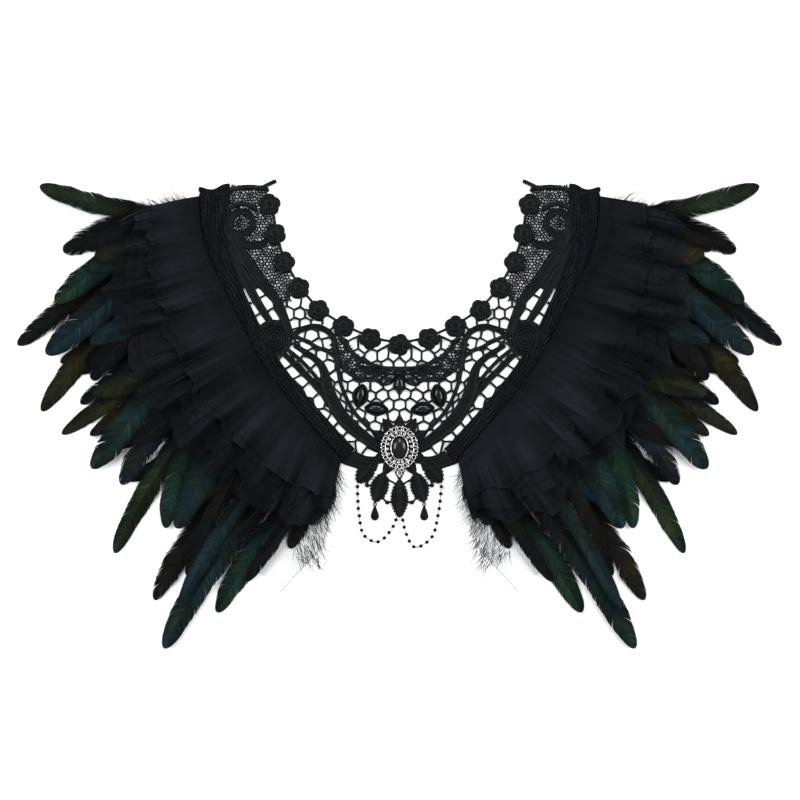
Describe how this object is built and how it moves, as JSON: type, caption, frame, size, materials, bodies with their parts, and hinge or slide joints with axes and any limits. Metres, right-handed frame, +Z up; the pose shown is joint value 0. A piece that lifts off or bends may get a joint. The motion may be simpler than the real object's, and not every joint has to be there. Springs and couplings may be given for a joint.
{
  "type": "feather shoulder cape",
  "caption": "Shoulder cape laid flat: a black guipure lace collar with a jewelled front, and on each side gathered net ruffles over layered iridescent rooster feathers.",
  "frame": {"origin": "on the surface that the cape lies on, under the middle of its outline", "axes": "+X towards the right of the cape as it is seen from above, +Y towards the neck opening, +Z up from the surface"},
  "size_m": [0.6496, 0.3986, 0.0311],
  "materials": {
    "lace": "matt cotton thread",
    "net": "soft see-through net",
    "feather": "silky, green and blue iridescent",
    "silver": "plated, with small crystals",
    "stone": "faceted, glossy",
    "bead": "faceted, glossy"
  },
  "bodies": {
    "root": {"lace_collar": "lace", "tie_end_left": "lace", "tie_end_right": "lace", "net_panel_left": "net", "net_panel_right": "net", "ruffle_top_left": "net", "ruffle_top_right": "net", "ruffle_middle_left": "net", "ruffle_middle_right": "net", "ruffle_low_left": "net", "ruffle_low_right": "net", "feathers_long_left": "feather", "feathers_long_right": "feather", "feathers_middle_left": "feather", "feathers_middle_right": "feather", "feathers_short_left": "feather", "feathers_short_right": "feather", "brooch_frame": "silver", "brooch_stone": "stone", "stone_middle": "stone", "stone_1_left": "stone", "stone_1_right": "stone", "stone_2_left": "stone", "stone_2_right": "stone", "stone_3_left": "stone", "stone_3_right": "stone", "bead_string_left": "bead", "bead_string_right": "bead", "drop_left": "bead", "drop_right": "bead"}
  },
  "joints": []
}
